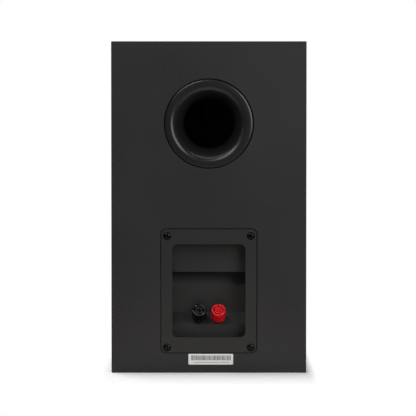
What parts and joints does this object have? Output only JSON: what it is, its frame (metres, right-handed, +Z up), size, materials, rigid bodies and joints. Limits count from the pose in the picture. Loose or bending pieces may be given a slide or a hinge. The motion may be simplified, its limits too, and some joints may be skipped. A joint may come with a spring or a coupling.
{
  "type": "bookshelf speaker",
  "caption": "Two-way bookshelf loudspeaker: wrapped cabinet, rear reflex port, recessed terminal cup with screw-down binding posts, pull-off cloth grille.",
  "frame": {"origin": "centre of the footprint, on the surface it stands on", "axes": "+Z up, -Y out of the front baffle, +Y out of the rear panel, +X to the right seen from the front"},
  "size_m": [0.19, 0.2304, 0.323],
  "materials": {
    "vinyl": "fibreboard in a charcoal wrap with a fine grain",
    "baffle": "fibreboard, satin black",
    "wadding": "loose dark grey polyester fibre",
    "moulding": "fine spark-eroded texture",
    "foam": "closed-cell foam",
    "black_screw": "black zinc",
    "brass": "turned",
    "red_plastic": "polished",
    "black_plastic": "polished",
    "label": "printed sticker",
    "board": "solder-masked laminate",
    "copper": "enamelled copper wire",
    "film": "film wrap",
    "ceramic": "cement",
    "red_wire": "insulation",
    "black_wire": "insulation",
    "basket": "powder coat",
    "rubber": "moulded",
    "cone": "woven fibre",
    "spider": "resin-treated cotton",
    "steel": "zinc plated",
    "ferrite": "sintered",
    "silk": "coated silk",
    "cloth": "open knit"
  },
  "bodies": {
    "cabinet": {"top_panel": "vinyl", "bottom_panel": "vinyl", "left_panel": "vinyl", "right_panel": "vinyl", "rear_panel": "vinyl", "front_baffle": "baffle", "wadding": "wadding", "port_flare": "moulding", "port_tube": "moulding", "terminal_cup": "moulding", "tweeter_faceplate": "moulding", "cup_gasket": "foam", "cup_screw_upper_left": "black_screw", "cup_screw_upper_right": "black_screw", "cup_screw_lower_left": "black_screw", "cup_screw_lower_right": "black_screw", "woofer_screw_1": "black_screw", "woofer_screw_2": "black_screw", "woofer_screw_3": "black_screw", "woofer_screw_4": "black_screw", "tweeter_screw_1": "black_screw", "tweeter_screw_2": "black_screw", "tweeter_screw_3": "black_screw", "tweeter_screw_4": "black_screw", "red_post_stem": "brass", "red_post_nut": "brass", "black_post_stem": "brass", "black_post_nut": "brass", "rear_label": "label", "crossover_board": "board", "woofer_inductor": "copper", "tweeter_inductor": "copper", "woofer_capacitor": "film", "tweeter_capacitor": "film", "tweeter_resistor": "ceramic", "woofer_wire_red": "red_wire", "tweeter_wire_red": "red_wire", "woofer_wire_black": "black_wire", "tweeter_wire_black": "black_wire", "woofer_basket": "basket", "woofer_surround": "rubber", "woofer_spider": "spider", "woofer_top_plate": "steel", "woofer_yoke": "steel", "tweeter_motor": "steel", "woofer_magnet": "ferrite", "tweeter_surround": "silk"},
    "grille": {"grille_frame": "moulding", "grille_cloth": "cloth"},
    "woofer_diaphragm": {"woofer_cone": "cone", "woofer_dust_cap": "cone", "woofer_voice_coil": "copper"},
    "tweeter_diaphragm": {"tweeter_dome": "silk", "tweeter_voice_coil": "copper"},
    "red_washer": {"red_post_washer": "brass"},
    "red_cap": {"red_post_cap": "red_plastic"},
    "red_plug": {"red_post_plug": "red_plastic"},
    "black_washer": {"black_post_washer": "brass"},
    "black_cap": {"black_post_cap": "black_plastic"},
    "black_plug": {"black_post_plug": "black_plastic"}
  },
  "joints": [
    {"name": "grille_pull", "type": "slide", "parent": "cabinet", "child": "grille", "axis": [0, -1, 0], "range_m": [0, 0.03]},
    {"name": "woofer_travel", "type": "slide", "parent": "cabinet", "child": "woofer_diaphragm", "axis": [0, -1, 0], "range_m": [-0.005, 0.005], "stiffness_N_per_m": 1000, "deforming": ["woofer_surround", "woofer_spider"]},
    {"name": "tweeter_travel", "type": "slide", "parent": "cabinet", "child": "tweeter_diaphragm", "axis": [0, -1, 0], "range_m": [-0.0005, 0.0005], "stiffness_N_per_m": 150, "deforming": ["tweeter_surround"]},
    {"name": "red_washer_lift", "type": "slide", "parent": "cabinet", "child": "red_washer", "axis": [0, 0.766, 0.6428], "range_m": [0, 0.0056]},
    {"name": "red_cap_spin", "type": "hinge", "parent": "red_washer", "child": "red_cap", "pos_m": [-0.0095, 0.09662, 0.052], "axis": [0, 0.766, 0.6428], "range_deg": [0, 2520]},
    {"name": "red_plug_pull", "type": "slide", "parent": "red_cap", "child": "red_plug", "axis": [0, 0.766, 0.6428], "range_m": [0, 0.012]},
    {"name": "black_washer_lift", "type": "slide", "parent": "cabinet", "child": "black_washer", "axis": [0, 0.766, 0.6428], "range_m": [0, 0.0056]},
    {"name": "black_cap_spin", "type": "hinge", "parent": "black_washer", "child": "black_cap", "pos_m": [0.0095, 0.09662, 0.052], "axis": [0, 0.766, 0.6428], "range_deg": [0, 2520]},
    {"name": "black_plug_pull", "type": "slide", "parent": "black_cap", "child": "black_plug", "axis": [0, 0.766, 0.6428], "range_m": [0, 0.012]}
  ],
  "couplings": [
    {"joint": "red_cap_spin", "follows": "red_washer_lift", "rad_per_m": 7854},
    {"joint": "black_cap_spin", "follows": "black_washer_lift", "rad_per_m": 7854}
  ]
}
